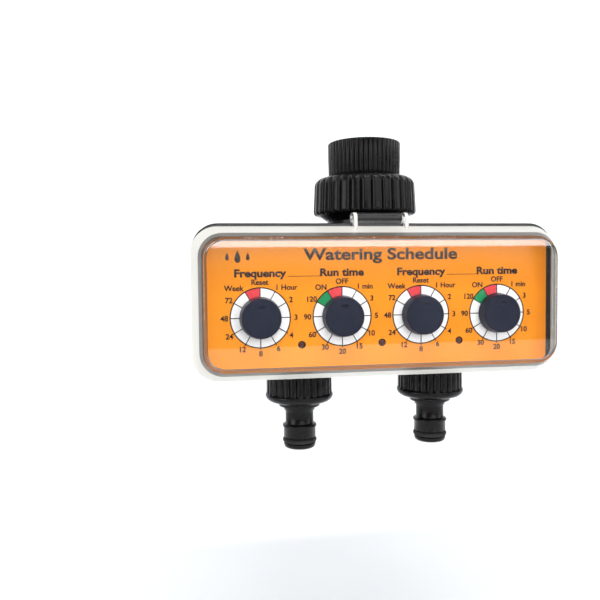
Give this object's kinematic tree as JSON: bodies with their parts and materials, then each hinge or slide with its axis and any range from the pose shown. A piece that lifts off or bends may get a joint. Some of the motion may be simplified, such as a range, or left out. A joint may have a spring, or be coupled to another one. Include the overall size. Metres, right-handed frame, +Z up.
{
  "type": "drip irrigation timer",
  "caption": "Tap-mounted watering timer: a slim box with setting dials behind a clear flap, a ribbed swivel inlet on top and click nozzles below.",
  "frame": {"origin": "centre of the inlet's top rim, where the tap screws in", "axes": "+Z up out of the inlet, -Y out of the dials, +X to the right of someone who looks at the dials"},
  "size_m": [0.1738, 0.0696, 0.1522],
  "materials": {
    "case_black": "satin moulded ABS",
    "fitting_black": "semi-gloss moulded nylon",
    "steel": "plain turned",
    "lid_clear": "clear polished",
    "face_orange": "printed film",
    "knob_dark": "satin",
    "white_plastic": "moulded",
    "switch_blue": "moulded",
    "lamp_red": "polished",
    "board_green": "solder resist",
    "black_rubber": "moulded",
    "brass": "plain",
    "cell_sleeve": "printed sleeve",
    "motor_steel": "zinc plated",
    "ball_chrome": "polished",
    "print_white": "screen print",
    "print_black": "screen print",
    "print_red": "screen print",
    "print_green": "screen print"
  },
  "bodies": {
    "housing": {"front_case": "case_black", "rear_case": "case_black", "case_screw_1": "steel", "case_screw_2": "steel", "case_screw_3": "steel", "case_screw_4": "steel", "case_screw_5": "steel", "case_screw_6": "steel", "hinge_pin": "steel", "control_panel": "case_black", "faceplate": "face_orange", "rotary_switch_1": "switch_blue", "rotary_switch_2": "switch_blue", "rotary_switch_3": "switch_blue", "rotary_switch_4": "switch_blue", "status_lamp_1": "lamp_red", "status_lamp_2": "lamp_red", "status_lamp_3": "lamp_red", "circuit_board": "board_green", "terminal_block": "white_plastic", "inlet_manifold": "fitting_black", "inlet_washer": "black_rubber", "inlet_filter": "white_plastic", "valve_body_left": "white_plastic", "valve_body_right": "white_plastic", "gearbox_left": "case_black", "gearbox_right": "case_black", "valve_motor_left": "motor_steel", "valve_motor_right": "motor_steel", "outlet_adapter_left": "fitting_black", "outlet_adapter_right": "fitting_black", "outlet_washer_left": "black_rubber", "outlet_washer_right": "black_rubber", "nozzle_o_ring_left": "black_rubber", "nozzle_o_ring_right": "black_rubber"},
    "lid": {"lid": "lid_clear"},
    "frequency_knob_1": {"frequency_knob_1": "knob_dark", "knob_spindle_1": "white_plastic"},
    "run_time_knob_1": {"run_time_knob_1": "knob_dark", "knob_spindle_2": "white_plastic"},
    "frequency_knob_2": {"frequency_knob_2": "knob_dark", "knob_spindle_3": "white_plastic"},
    "run_time_knob_2": {"run_time_knob_2": "knob_dark", "knob_spindle_4": "white_plastic"},
    "battery_tray": {"battery_tray": "case_black", "battery_tray_seal": "black_rubber", "battery_contact": "brass", "battery_cell_left": "cell_sleeve", "battery_cell_right": "cell_sleeve"},
    "inlet_swivel": {"swivel_nut": "fitting_black", "reducer_bush": "fitting_black"},
    "valve_left": {"valve_ball_left": "ball_chrome", "valve_gear_left": "white_plastic"},
    "pinion_left": {"motor_pinion_left": "brass"},
    "valve_right": {"valve_ball_right": "ball_chrome", "valve_gear_right": "white_plastic"},
    "pinion_right": {"motor_pinion_right": "brass"}
  },
  "joints": [
    {"name": "lid_hinge", "type": "hinge", "parent": "housing", "child": "lid", "pos_m": [0, -0.0255, -0.0394], "axis": [-1, 0, 0], "range_deg": [0, 100]},
    {"name": "frequency_knob_1_turn", "type": "hinge", "parent": "housing", "child": "frequency_knob_1", "pos_m": [-0.05625, -0.0309, -0.0845], "axis": [0, 1, 0], "range_deg": [0, 330]},
    {"name": "run_time_knob_1_turn", "type": "hinge", "parent": "housing", "child": "run_time_knob_1", "pos_m": [-0.01875, -0.0309, -0.0845], "axis": [0, 1, 0], "range_deg": [0, 330]},
    {"name": "frequency_knob_2_turn", "type": "hinge", "parent": "housing", "child": "frequency_knob_2", "pos_m": [0.01875, -0.0309, -0.0845], "axis": [0, 1, 0], "range_deg": [0, 330]},
    {"name": "run_time_knob_2_turn", "type": "hinge", "parent": "housing", "child": "run_time_knob_2", "pos_m": [0.05625, -0.0309, -0.0845], "axis": [0, 1, 0], "range_deg": [0, 330]},
    {"name": "battery_tray_slide", "type": "slide", "parent": "housing", "child": "battery_tray", "axis": [0, 0, -1], "range_m": [0, 0.05]},
    {"name": "inlet_swivel_turn", "type": "hinge", "parent": "housing", "child": "inlet_swivel", "pos_m": [0, 0, -0.0262], "axis": [0, 0, 1], "continuous": true},
    {"name": "valve_left_turn", "type": "hinge", "parent": "housing", "child": "valve_left", "pos_m": [-0.03435, 0, -0.093], "axis": [-1, 0, 0], "range_deg": [0, 90]},
    {"name": "pinion_left_spin", "type": "hinge", "parent": "housing", "child": "pinion_left", "pos_m": [-0.05175, 0, -0.07845], "axis": [-1, 0, 0], "range_deg": [-270, 0]},
    {"name": "valve_right_turn", "type": "hinge", "parent": "housing", "child": "valve_right", "pos_m": [0.03435, 0, -0.093], "axis": [1, 0, 0], "range_deg": [0, 90]},
    {"name": "pinion_right_spin", "type": "hinge", "parent": "housing", "child": "pinion_right", "pos_m": [0.05175, 0, -0.07845], "axis": [1, 0, 0], "range_deg": [-270, 0]}
  ],
  "couplings": [
    {"joint": "pinion_left_spin", "follows": "valve_left_turn", "ratio": -3},
    {"joint": "pinion_right_spin", "follows": "valve_right_turn", "ratio": -3}
  ]
}
